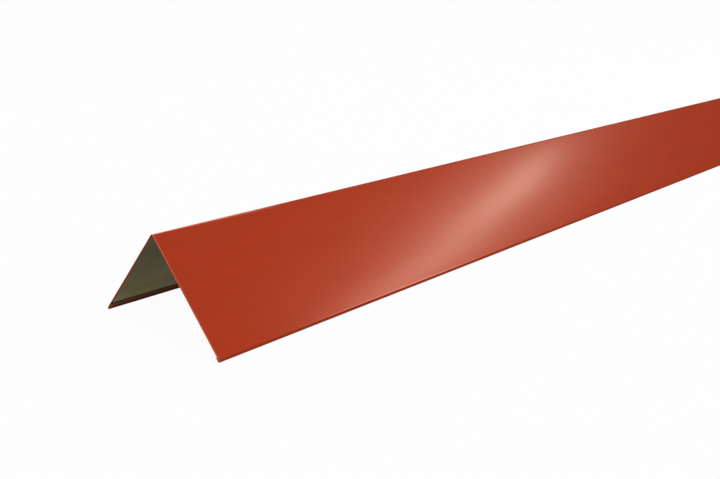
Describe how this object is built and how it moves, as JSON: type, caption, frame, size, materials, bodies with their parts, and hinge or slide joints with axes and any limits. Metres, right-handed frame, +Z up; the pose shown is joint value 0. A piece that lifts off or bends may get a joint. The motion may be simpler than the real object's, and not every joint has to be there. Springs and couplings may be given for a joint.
{
  "type": "roof ridge cap",
  "caption": "Flat ridge cap folded from one painted steel sheet into an upside-down V, with an open hem turned under along each long edge.",
  "frame": {"origin": "on the floor that the two hems stand on, under the middle of the ridge", "axes": "+X along the ridge, +Z up through the ridge, and the narrower hem on the -Y side"},
  "size_m": [2, 0.205, 0.1088],
  "materials": {
    "painted_sheet": "satin red topcoat outside, dull olive-grey back coat inside"
  },
  "bodies": {
    "root": {"ridge_cap": "painted_sheet"}
  },
  "joints": []
}
